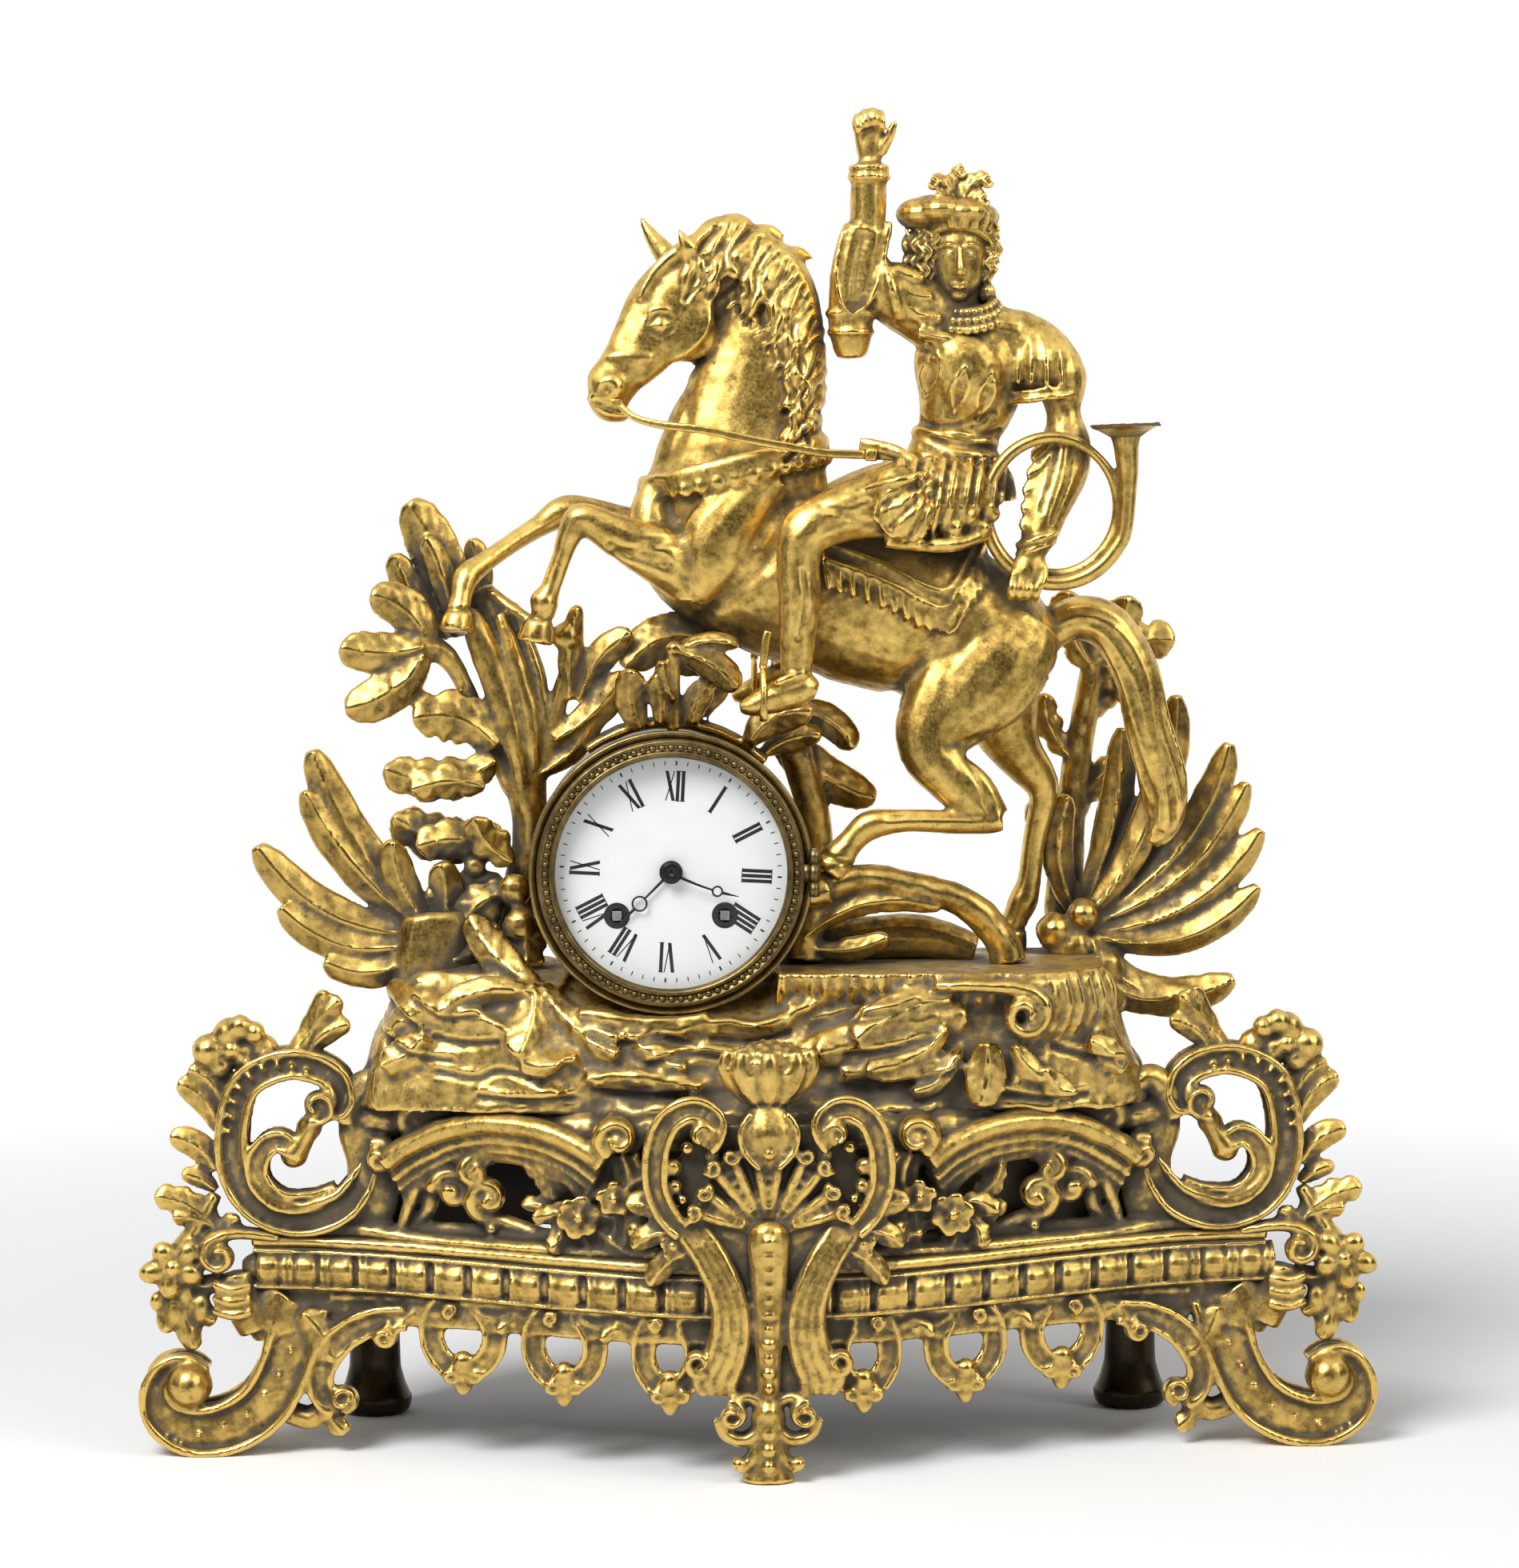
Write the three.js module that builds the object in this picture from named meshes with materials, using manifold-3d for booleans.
// Gilt table clock: a hunting rider on a rearing horse over a drum clock on a pierced scroll base.
// Millimetres, +Z up, the dial faces -Y.
import * as THREE from 'three';
import { mergeVertices } from 'three/addons/utils/BufferGeometryUtils.js';
import Module from 'manifold-3d';

const wasm = await Module();
wasm.setup();

// Driving dimensions
const SHIFT_Y = 7.5; // puts the middle of the depth on the frame's origin
const GAP = 0.3; // clearance between neighbouring castings
const FIT = 0.15; // running clearance of the movement
const DRUM = { x: -32, z: 205, r: 46, wall: 2, front: 4.6, back: -68 };
const FLANGE = { r: 48.5, t: 3 };
const DIAL_Y = -38; // front face of the enamel
const DIAL = { r: 42.5, t: 1.2, hole: 3 };
const BEZEL = { outer: 46.1, inner: 39.6, back: 0.8, front: 9 };
const LEDGE = { inner: 40.8, back: -6.8 };
const PLATE = { r: 43.4, t: 2, front: -7, back: -39 };
const ARBOR_R = 1.2;
const HAND_Z = { hour: 1.3, minute: 2.9 }; // back faces of the hands above the dial
const TRAIN_MODULE = 1.2;
const MOTION_MODULE = 0.9;
const MESH_DEPTH = 0.6; // share of a tooth that reaches into the next wheel
const BARREL = { x: 18.5, y: -15, teeth: 24, drum: 13.2, hub: 6 };
const SECOND = { teeth: 24, pinion: 6 };
const CENTRE = { teeth: 24, pinion: 6 };
const THIRD = { teeth: 20, pinion: 6 };
const ESCAPE = { y: 24, r: 8, teeth: 15, pinion: 6 };
const ANCHOR_Y = 35;
const STRIKE_SECOND = { teeth: 20, pinion: 6, angle: 105 };
const PIN_WHEEL = { teeth: 12, pinion: 6, angle: 100 };
const FLY = { pinion: 6, angle: 75, r: 4.4 };
const CANNON_TEETH = 6;
const MINUTE_WHEEL = { teeth: 18, pinion: 5 };
const HOUR_TEETH = 20;
const PENDULUM = { z: -46, bobZ: 96, bobR: 11, rod: 1.1 };
const BELL_R = 29;
const BASE = { half: 150, back: 60, bottom: 65.3, top: 121, wall: 4 };
const BOW = { side: -16, depth: 46, beyond: 15 }; // the bow runs this far past the base's ends
const GADROON = { z: 58.6, a: 6.2, b: 6.6, over: 28, lobes: 20 };
const APRON = { z: 45, a: 6.4, b: 3.6, over: 16 };
const FOOT = { inset: 12, back: 14 }; // back feet in from the base's ends and back
const HORSE_Y = 8; // middle plane of the horse
const PLATEAU = 170;

const gilt = { color: 0xb48a3a, roughness: 0.4, metalness: 0.9 };
const brass = { color: 0xc2a35a, roughness: 0.35, metalness: 0.9 };
const steel = { color: 0x8f949a, roughness: 0.3, metalness: 0.95 };
const blued = { color: 0x15171b, roughness: 0.35, metalness: 0.6 };
const enamel = { color: 0xf4f1e8, roughness: 0.2, metalness: 0 };
const glass = { color: 0xdfe9ea, roughness: 0.05, metalness: 0 };

// A closed three.js geometry as a solid, turned outward if its winding runs the other way.
function solid(geometry) {
  const bare = new THREE.BufferGeometry();
  bare.setAttribute('position', geometry.getAttribute('position'));
  if (geometry.index) bare.setIndex(geometry.index);
  const merged = mergeVertices(bare, 1e-4);
  const p = merged.getAttribute('position').array;
  const tri = new Uint32Array(merged.index.array);
  let volume = 0;
  const [a, b, c] = [new THREE.Vector3(), new THREE.Vector3(), new THREE.Vector3()];
  for (let i = 0; i < tri.length; i += 3) {
    a.fromArray(p, tri[i] * 3);
    b.fromArray(p, tri[i + 1] * 3);
    c.fromArray(p, tri[i + 2] * 3);
    volume += a.dot(b.cross(c));
  }
  if (volume < 0) {
    for (let i = 0; i < tri.length; i += 3) [tri[i + 1], tri[i + 2]] = [tri[i + 2], tri[i + 1]];
  }
  return new wasm.Manifold(new wasm.Mesh({ numProp: 3, vertProperties: p, triVerts: tri }));
}

const join = (list) => list.slice(1).reduce((sum, one) => sum.add(one), list[0]);

function box(x0, x1, y0, y1, z0, z1) {
  const g = new THREE.BoxGeometry(x1 - x0, y1 - y0, z1 - z0);
  return solid(g.translate((x0 + x1) / 2, (y0 + y1) / 2, (z0 + z1) / 2));
}

function ball(x, y, z, r, detail = 0) {
  return solid(new THREE.IcosahedronGeometry(r, detail).translate(x, y, z));
}

// Rings of equal length, closed into a skin with a fan at each end.
function loft(rings) {
  const n = rings[0].length;
  const vertices = rings.flat();
  const index = [];
  for (let i = 0; i + 1 < rings.length; i++) {
    for (let k = 0; k < n; k++) {
      const [p, q] = [i * n + k, i * n + ((k + 1) % n)];
      index.push(p, p + n, q, q, p + n, q + n);
    }
  }
  for (const [first, flip] of [[0, false], [(rings.length - 1) * n, true]]) {
    const middle = new THREE.Vector3();
    for (let k = 0; k < n; k++) middle.addScaledVector(vertices[first + k], 1 / n);
    vertices.push(middle);
    const m = vertices.length - 1;
    for (let k = 0; k < n; k++) {
      const [p, q] = [first + k, first + ((k + 1) % n)];
      index.push(m, flip ? q : p, flip ? p : q);
    }
  }
  return new THREE.BufferGeometry().setFromPoints(vertices).setIndex(index);
}

// A value list carried smoothly through its control points.
function smooth(points, steps) {
  const out = [];
  const at = (i) => points[Math.min(points.length - 1, Math.max(0, i))];
  for (let i = 0; i + 1 < points.length; i++) {
    for (let s = 0; s < steps; s++) {
      const t = s / steps;
      const [p0, p1, p2, p3] = [at(i - 1), at(i), at(i + 1), at(i + 2)];
      out.push(p1.map((v, k) => v + 0.5 * t * (p2[k] - p0[k]
        + t * (2 * p0[k] - 5 * v + 4 * p2[k] - p3[k] + t * (3 * (v - p2[k]) + p3[k] - p0[k])))));
    }
  }
  out.push(points[points.length - 1]);
  return out;
}

// A limb along control points [x, y, z, half width across the path, half width along the side axis].
function limb(points, { sides = 6, steps = 1, grow = 0, side = [0, 1, 0], flat = false } = {}) {
  const path = steps > 1 ? smooth(points, steps) : points;
  const axis = new THREE.Vector3(...side);
  const rings = path.map(([x, y, z, a, b], i) => {
    const from = path[Math.max(0, i - 1)];
    const to = path[Math.min(path.length - 1, i + 1)];
    const along = new THREE.Vector3(to[0] - from[0], to[1] - from[1], to[2] - from[2]).normalize();
    const across = new THREE.Vector3().crossVectors(along, axis).normalize();
    const out = new THREE.Vector3().crossVectors(across, along);
    return Array.from({ length: sides }, (_, k) => {
      const turn = (2 * Math.PI * (k + (flat ? 0.5 : 0))) / sides;
      const spread = flat ? Math.SQRT2 : 1;
      return new THREE.Vector3(x, y, z)
        .addScaledVector(across, (a + grow) * spread * Math.cos(turn))
        .addScaledVector(out, (b + grow) * spread * Math.sin(turn));
    });
  });
  return solid(loft(rings));
}

// A pointed leaf from its foot to its tip, lying in the picture plane.
function leaf([x0, z0], [x1, z1], w, { y = 0, lean = 0, bend = 0.12, t = 1.6 } = {}) {
  const [dx, dz] = [x1 - x0, z1 - z0];
  const at = (s, width, thick) => {
    const sag = bend * 4 * s * (1 - s);
    return [x0 + dx * s - dz * sag, y + lean * s, z0 + dz * s + dx * sag, width, thick];
  };
  return limb([at(0, 0.45 * w, t), at(0.45, w, t), at(1, 0.5, 0.5)], { sides: 4 });
}

const mirror = (points, s) => points.map(([x, ...rest]) => [s * x, ...rest]);
const farSide = (points) => points.map(([x, y, ...rest]) => [x, 2 * HORSE_Y - y, ...rest]);
const polar = (r, degrees) => [
  r * Math.cos(degrees * Math.PI / 180), r * Math.sin(degrees * Math.PI / 180),
];

const root = new THREE.Group();
root.position.set(0, SHIFT_Y, 0);

// A solid as a named mesh of the part.
function add(name, body, look, parent = root) {
  const mesh = body.getMesh();
  const g = new THREE.BufferGeometry();
  const all = new Float32Array(mesh.numVert * 3);
  for (let i = 0; i < mesh.numVert; i++) {
    for (let k = 0; k < 3; k++) all[i * 3 + k] = mesh.vertProperties[i * mesh.numProp + k];
  }
  g.setAttribute('position', new THREE.BufferAttribute(all, 3));
  g.setIndex(Array.from(mesh.triVerts));
  const made = new THREE.Mesh(g, new THREE.MeshStandardMaterial(look));
  made.name = name;
  parent.add(made);
  return made;
}

// The bowed front line of the base.
function frontY(x) {
  const half = BASE.half + BOW.beyond;
  if (Math.abs(x) >= half) return BOW.side;
  return BOW.side - BOW.depth * Math.cos((Math.PI * x) / (2 * half)) ** 2;
}

// Base shell: bowed, waisted walls over an open bottom, with a pierced panel on each side
function planRing(z, inset, pinch) {
  const half = BASE.half - pinch;
  const ring = [];
  for (let i = 0; i <= 10; i++) {
    const x = -half + (2 * half * i) / 10;
    ring.push(new THREE.Vector3(x, frontY(x) + inset, z));
  }
  ring.push(new THREE.Vector3(half, BASE.back - pinch, z), new THREE.Vector3(-half, BASE.back - pinch, z));
  return ring;
}
const wallLevels = [[BASE.bottom, 0], [68.5, 0.5], [74, 8], [82, 12], [108, 12.5], [116, 5], [BASE.top, 3]];
const shellOuter = solid(loft(wallLevels.map(([z, inset]) => planRing(z, inset, 0.4 * inset))));
const hollow = [[BASE.bottom - 5, 0.5], [69, 1], [81, 12.5], [BASE.top - BASE.wall, 12.5]];
const shellInner = solid(loft(hollow.map(([z, inset]) => planRing(
  z, inset + BASE.wall, 0.4 * inset + BASE.wall
))));
function arch(x0, x1, z0, z1, y0, y1) {
  const shape = new THREE.Shape();
  const middle = (x0 + x1) / 2;
  shape.moveTo(x0, z0);
  shape.lineTo(x1, z0);
  shape.quadraticCurveTo(x1, z1, middle, z1);
  shape.quadraticCurveTo(x0, z1, x0, z0);
  const g = new THREE.ExtrudeGeometry(shape, { depth: y1 - y0, bevelEnabled: false, curveSegments: 5 });
  return solid(g.rotateX(Math.PI / 2).translate(0, y1, 0));
}
const onWall = (points, depth) => points.map(([x, z, a, b]) => [x, frontY(x) + depth, z, a, b]);
function panelScrolls(s) {
  const lines = [
    [[112, 80, 3, 3], [98, 96, 3, 3], [81, 114, 3, 3]],
    [[50, 80, 3, 3], [64, 96, 3, 3], [81, 114, 3, 3]],
    [[96, 77, 3, 3], [88, 96, 3, 3], [74, 96, 3, 3], [66, 77, 3, 3]],
  ];
  return lines.map((line) => limb(mirror(onWall(line, 14.5), s), { sides: 4 }));
}
const slotHalf = 8;
const pendulumY = DIAL_Y - PENDULUM.z;
const pendulumSlot = (z0, z1) => box(
  DRUM.x - slotHalf, DRUM.x + slotHalf, pendulumY - 5, pendulumY + 5, z0, z1
);
let baseShell = shellOuter.subtract(shellInner);
for (const s of [-1, 1]) {
  baseShell = baseShell.subtract(arch(s < 0 ? -112 : 50, s < 0 ? -50 : 112, 79, 112, -90, -8));
  baseShell = join([baseShell, ...panelScrolls(s)]);
}
baseShell = baseShell.subtract(pendulumSlot(BASE.top - 10, BASE.top + 5));

// Apron: a bowed band with six pierced loops, two scrolled feet and their inner brackets
function loopRing(x, bottom, half) {
  const top = APRON.z + 3;
  const y = (v) => frontY(v) + 3;
  const outline = [
    [x - half, top - 2], [x - half + 2, bottom + 10], [x, bottom + 3], [x + half - 2, bottom + 10], [x + half, top - 2],
  ];
  return limb(outline.map(([u, z]) => [u, y(u), z, 3.2, 3.6]), { sides: 4 });
}
const atEnd = (points) => points.map(([x, ...rest]) => [BASE.half + x, ...rest]);
const footPath = atEnd([
  [11, -14, 46, 10, 6], [15, -15, 37, 12, 8], [20, -15, 25, 11, 8.5], [31, -15, 12, 10, 9], [45, -15, 7.6, 8.6, 9],
  [57, -15, 14, 7.4, 8.5], [60.5, -15, 24, 7, 8], [53, -15, 31, 6.5, 7.5], [49, -15, 24, 6, 7],
]);
const bracketPath = atEnd([
  [-26, -23, 47, 5, 4], [-14, -20, 46, 5, 5], [-3, -18, 40, 5, 5], [4, -17, 30, 5, 5], [3, -17, 20, 5, 5],
  [-4, -17, 14.5, 4.5, 5],
]);
const apronHalf = BASE.half + APRON.over;
const bandLine = Array.from({ length: 11 }, (_, i) => {
  const x = -apronHalf + (2 * apronHalf * i) / 10;
  return [x, frontY(x) + 3.4, APRON.z, APRON.a, APRON.b];
});
const apronParts = [limb(bandLine, { sides: 4, flat: true })];
for (const s of [-1, 1]) {
  apronParts.push(limb(mirror(footPath, s)));
  apronParts.push(limb(mirror(bracketPath, s), { sides: 4 }));
  apronParts.push(loopRing(s * 104, 23, 17), loopRing(s * 69, 22, 16), loopRing(s * 31.5, 21, 13));
}
const apron = join(apronParts).subtract(box(-260, 260, -100, 100, -40, 0));

// Gadroon moulding: a bowed rod of swelling lobes
const gadroonHalf = BASE.half + GADROON.over;
const gadroonLine = Array.from({ length: GADROON.lobes * 2 + 1 }, (_, i) => {
  const x = -gadroonHalf + (gadroonHalf * i) / GADROON.lobes;
  const swell = i % 2 ? 1 : 0.84;
  return [x, frontY(x) - 0.5, GADROON.z, GADROON.a * swell, GADROON.b * swell];
});
const gadroonRod = (grow) => limb(gadroonLine, { sides: 4, grow });

// Corner scrolls with counter-scroll, leaves and berries
const scrollOuter = atEnd([
  [3, -16, 121, 3.4, 5], [1, -15, 131, 4.2, 6.5], [16, -14, 137.5, 4.6, 7], [31, -14, 131, 4.8, 7],
  [40, -14, 114, 4.8, 7], [36, -14, 95, 4.8, 7], [22, -14, 83, 4.6, 7], [5, -14, 82, 4.4, 7],
  [-1.2, -10, 92, 4.4, 6], [-0.2, -6, 104, 4.4, 6],
]);
const scrollInner = atEnd([
  [8, -16, 83, 3, 4.5], [20, -17, 88, 3.6, 5], [26, -17, 98, 3.6, 5], [22, -17, 108, 3.6, 4.8], [4, -16, 120, 3, 4],
]);
const flowerStem = atEnd([
  [38, -15, 92, 3, 4], [46, -16, 78, 4, 5], [51, -16, 64, 9, 8], [49, -16, 52, 6, 6], [46, -16, 40, 1.4, 1.4],
]);
function cornerScroll(s) {
  const m = ([x, z]) => [s * (BASE.half + x), z];
  const leaves = [
    [[38, 114], [53, 130], 5], [[39, 100], [56, 111], 5], [[16, 140], [9, 157], 4], [[10, 138], [-5, 160], 6],
  ];
  const berries = atEnd([[33, 140, 8], [24, 143, 8]]);
  return join([
    limb(mirror(scrollOuter, s)),
    limb(mirror(scrollInner, s), { sides: 4 }),
    ...leaves.map(([p, q, w]) => leaf(m(p), m(q), w, { y: -13, bend: 0.14 * s })),
    ...berries.map(([x, z, r]) => ball(s * x, -14, z, r)),
  ]);
}
function flowerDrop(s) {
  const m = ([x, z]) => [s * (BASE.half + x), z];
  const petals = [[66, 66], [60, 90], [38, 66]].map((tip) => leaf(
    m([51, 64]), m(tip), 5, { y: -20, t: 2.4 }
  ));
  const [ballX, ballZ] = m([53, 62]);
  const flower = join([limb(mirror(flowerStem, s), { sides: 4 }), ...petals, ball(ballX, -22, ballZ, 5)]);
  return flower.subtract(limb(mirror(scrollOuter, s), { grow: GAP }));
}

// Centre cartouche: shell of rayed ribs between scrolls over a beaded post and a pendant foot
function cartouche() {
  const y = -68.6;
  const fan = new THREE.Shape();
  const SCALLOPS = 5;
  for (let i = 0; i <= SCALLOPS * 2; i++) {
    const [c, d] = polar(i % 2 ? 34 : 29, 14 + (152 * i) / (SCALLOPS * 2));
    if (i) fan.lineTo(c, 86 + d * 0.92);
    else fan.moveTo(c, 86 + d * 0.92);
  }
  fan.lineTo(-8, 82);
  fan.lineTo(8, 82);
  const fanBody = new THREE.ExtrudeGeometry(fan, { depth: 5, bevelEnabled: false });
  const shell = solid(fanBody.rotateX(Math.PI / 2).translate(0, y + 2, 0));
  const sideScroll = [[15, 121, 3.4], [27, 130, 4], [38, 122, 4.2], [40, 106, 4.4], [26, 87, 4.4]];
  const lowerScroll = [[26, 88, 4], [16, 70, 4], [14.5, 50, 4], [22, 33, 3.4]];
  const pendant = [[15, 27, 2.2], [17, 20, 3], [11, 15, 3.6], [0, 14, 4.4]];
  const both = (line, dy, b) => [-1, 1].map((s) => limb(
    line.map(([x, z, a]) => [s * x, y + dy, z, a, b]), { sides: 4 }
  ));
  const back = [
    [0, y + 3, 118, 24, 3], [0, y + 3, 104, 32, 3], [0, y + 3, 90, 25, 3], [0, y + 3, 72, 14, 3],
    [0, y + 3, 26, 12, 3],
  ];
  const post = Array.from(
    { length: 7 }, (_, i) => [0, y - 1, 92 - 10.4 * i, i % 2 ? 5.4 : 4.4, i % 2 ? 5.4 : 4.6]
  );
  return join([
    limb(back, { sides: 4 }),
    shell,
    ...both(sideScroll, 0, 4),
    ...both(lowerScroll, -1, 4.4),
    limb(post, { sides: 4 }),
    ...both(pendant, 0, 4.4),
    limb([[0, y, 32, 5, 5], [0, y, 16, 6, 5.4], [0, y, 7, 6, 5.4], [0, y, 0, 11, 6.5]], { sides: 6 }),
    limb([
      [0, y + 1, 112, 6, 5], [0, y, 122, 9, 6], [0, y, 131, 6, 5], [0, y, 139, 11, 6.5],
      [0, y, 147, 10, 6], [0, y, 153, 3, 3],
    ]),
  ]).subtract(gadroonRod(GAP));
}

// Back feet
function backFoot(s) {
  const x = s * (BASE.half - FOOT.inset);
  const y = BASE.back - FOOT.back;
  const top = BASE.bottom - GAP;
  return limb(
    [[x, y, 0, 12, 10], [x, y, 6, 14, 12], [x, y, 16, 10, 9], [x, y, 34, 9, 9], [x, y, top, 11, 10]],
    { sides: 8 }
  );
}

// Rock mound: sections along the width, cut for the drum, the plateau and the pendulum
const moundStations = [
  [-141, 129, 22, 2], [-133, 150, 34, 2], [-122, 171, 40, 2], [-92, 173, 46, 2], [-56, 168, 49, 2], [-8, 167, 50, 2],
  [24, 173, 49, 3], [70, 175, 47, 4], [104, 174, 44, 4], [120, 166, 38, 5], [129, 148, 32, 5], [137, 129, 22, 5],
];
const moundFoot = BASE.top + GAP;
const MOUND_SIDES = 9;
const moundRings = moundStations.map(([x, top, half, yc]) => Array.from({ length: MOUND_SIDES + 1 }, (_, k) => {
  const turn = Math.PI * (k / MOUND_SIDES);
  const squash = (v) => Math.sign(v) * Math.abs(v) ** 0.62;
  const rough = k % MOUND_SIDES ? 1.6 * Math.sin(0.19 * x + 2.3 * k) : 0;
  const z = moundFoot + (top - moundFoot) * squash(Math.sin(turn));
  return new THREE.Vector3(
    x, yc - (half + rough) * squash(Math.cos(turn)), k % MOUND_SIDES ? z + rough : moundFoot
  );
}));
function drumSpace(grow) {
  const ring = (r, y0, y1) => {
    const g = new THREE.CylinderGeometry(r + grow, r + grow, y1 - y0, 20);
    return solid(g.translate(DRUM.x, (y0 + y1) / 2, DRUM.z));
  };
  return join([ring(DRUM.r, DIAL_Y - 1, 90), ring(FLANGE.r, -90, DIAL_Y + 5)]);
}
let mound = solid(loft(moundRings));
mound = mound.subtract(drumSpace(0.5));
mound = mound.subtract(box(6, 200, -100, 100, PLATEAU, 260));
mound = mound.subtract(box(-110, 72, 29, 100, 156, 260));
mound = mound.subtract(pendulumSlot(100, 190));

// Horse
const bodyLine = [
  [-43, 8, 327, 5, 6], [-35, 8, 325, 15, 13], [-20, 8, 317, 26, 20], [5, 8, 308, 31, 24],
  [34, 8, 298, 31, 25], [62, 8, 289, 29, 25], [86, 8, 281, 25, 22], [100, 8, 277, 14, 13],
  [105, 8, 276, 4, 4],
];
const neckLine = [
  [-8, 8, 326, 34, 19], [-6, 8, 346, 30, 17], [-3, 8, 364, 25, 14], [2, 8, 384, 20, 12.5],
  [3, 8, 400, 18, 11], [-6, 8, 413, 13, 10], [-14, 7, 417, 8, 7],
];
const headLine = [
  [-10, 8, 412, 9, 8], [-23, 6, 405, 15, 10.5], [-33, 4, 396, 15, 10.5], [-41, 1, 385, 12, 8.5],
  [-48, -1, 376, 9.5, 7], [-53, -3, 370, 8.5, 6.8], [-56, -4, 366.5, 5, 4.5],
];
const nearFore = [
  [-16, -4, 306, 16, 9], [-33, -10, 312, 11, 7], [-49, -12, 319, 7.6, 6], [-62, -12, 325, 5.4, 5.2],
  [-67, -12, 316, 4.2, 4.1], [-72, -12, 305, 3.6, 3.6], [-75, -12, 297, 4.4, 4.2],
  [-75, -12, 292, 4, 4.2], [-77, -12, 286, 5.6, 5.4],
];
const farFore = [
  [-18, 20, 310, 14, 9], [-45, 26, 321, 8, 6.5], [-68, 27, 327, 5.4, 5], [-84, 27, 318, 4, 3.8],
  [-98, 27, 309, 3.9, 3.8], [-103, 27, 303, 4.6, 4.4], [-104, 27, 295, 4, 4.2],
  [-105, 27, 286, 5.8, 5.8],
];
const nearThigh = [
  [80, -2, 284, 25, 13], [68, -6, 264, 20, 12], [60, -10, 247, 13, 9], [66, -12, 235, 9, 7.5],
  [75, -13, 226, 7, 6], [82, -14, 220, 5, 5],
];
const nearCannon = [
  [83, -14, 219, 4.6, 4.6], [66, -15, 220, 4.5, 4.3], [50, -16, 220.5, 4.2, 4], [38, -16, 219, 5, 4.6],
  [31, -16, 213, 4.6, 4.4], [27, -16, 208, 6, 5.6], [23.5, -16, 202.5, 6.6, 6.2],
];
const farThigh = [
  [82, 18, 282, 23, 12], [86, 22, 260, 16, 11], [92, 25, 244, 10, 8], [101, 27, 232, 7, 6],
  [103, 27, 225, 5.4, 5], [100, 27, 210, 4.4, 4.3], [98, 27, 195, 4.3, 4.3], [96, 27, 188, 5.1, 4.9],
  [93, 27, 181, 4.6, 4.6], [91, 27, 174, 6.6, 6.2], [90, 27, PLATEAU + 0.5, 7.2, 6.8],
];
const tailLine = [
  [101, 8, 284, 6, 5], [112, 8, 290, 7, 6], [124, 7, 286, 9, 7], [134, 6, 270, 10, 7.5],
  [138, 5, 252, 9, 7.5], [143, 5, 233, 9, 7], [144, 5, 219, 6, 5], [139, 5, 210, 1.5, 1.5],
];
const maneLine = [
  [-13, 8, 417, 8, 9], [4, 8, 414, 10, 12.5], [12, 8, 402, 10, 13.5], [15, 8, 386, 9, 14.5],
  [16, 8, 368, 8, 15.5], [15, 8, 352, 4, 12],
];
function prism(outline, y0, y1) {
  const shape = new THREE.Shape(outline.map(([x, z]) => new THREE.Vector2(x, z)));
  const g = new THREE.ExtrudeGeometry(shape, { depth: y1 - y0, bevelEnabled: false });
  return solid(g.rotateX(Math.PI / 2).translate(0, y1, 0));
}
// The room that a hoof needs in what it stands on
function socket(points) {
  const [last, before] = [points[points.length - 1], points[points.length - 2]];
  const beyond = last.map((v, k) => (k < 3 ? v + 0.2 * (v - before[k]) : v));
  return limb([...points, beyond], { sides: 5, grow: 2 * GAP });
}
const bodyShape = (grow) => limb(bodyLine, { sides: 8, grow });
const clothOutline = [[22, 350], [76, 350], [79, 312], [70, 296], [60, 283], [44, 290], [24, 299]];
const CLOTH = 1.8;
const cloth = bodyShape(CLOTH).intersect(prism(clothOutline, -60, 80));
const strap = bodyShape(CLOTH).add(limb(neckLine, { grow: CLOTH })).intersect(
  prism(
    [
      [-60, 341], [-44, 338], [-20, 340], [0, 344], [30, 352], [30, 346], [2, 337], [-20, 332],
      [-44, 329], [-60, 333],
    ],
    -60, 80
  ),
);
const horse = join([
  bodyShape(0),
  limb(neckLine),
  limb(headLine),
  limb([[-24, 10, 407, 4, 4], [-35, 13, 421, 3.6, 2.8], [-41, 14.5, 430.5, 0.6, 0.6]], { sides: 4 }),
  limb([[-22, 1, 413, 3.4, 2.6], [-22, -1.5, 420, 3.2, 2.4], [-25, -2.5, 427, 0.6, 0.6]], { sides: 4 }),
  limb(nearFore, { sides: 5 }),
  limb(farFore, { sides: 5 }),
  limb(nearThigh),
  limb(nearCannon, { sides: 5 }),
  limb(farThigh, { sides: 5 }),
  limb(tailLine, { sides: 5 }),
  limb(maneLine),
  cloth,
  strap,
]);
mound = mound.subtract(socket(farThigh.slice(-3)));

// Rider, facing the front, one arm raised and the other holding the horn
const torso = [
  [66, 6, 328, 18, 15], [67, 6, 340, 16, 13.5], [69, 6, 352, 13.5, 11.5], [73, 6, 366, 17.5, 13],
  [75, 6, 380, 21, 14], [77, 6, 391, 17, 12], [75, 5.5, 396, 8, 8], [74, 5, 398.5, 11.5, 11.5],
  [73, 5, 401, 6, 6],
];
const head = [
  [73, 4.5, 400, 5.2, 5.6], [72.5, 3.5, 405, 6.8, 7.6], [72, 3, 411, 8.6, 9.6], [72, 3.5, 418, 9, 10],
  [71.5, 4.5, 424, 7.5, 8.5], [71, 5, 428, 4, 5],
];
const hat = [
  [50, 4, 432, 2, 7], [56, 3.5, 431.5, 5.5, 13], [66, 3.5, 430, 7, 16], [77, 3.5, 427.5, 6.5, 14.5],
  [85, 4, 425.5, 2.5, 8],
];
const raisedUpper = [
  [70, 6, 386, 13, 11], [58, 5, 390, 12.5, 10.5], [46, 3, 393, 11, 9.5], [37, 1, 392, 9, 8.5],
  [32, 0, 389, 6, 6],
];
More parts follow.
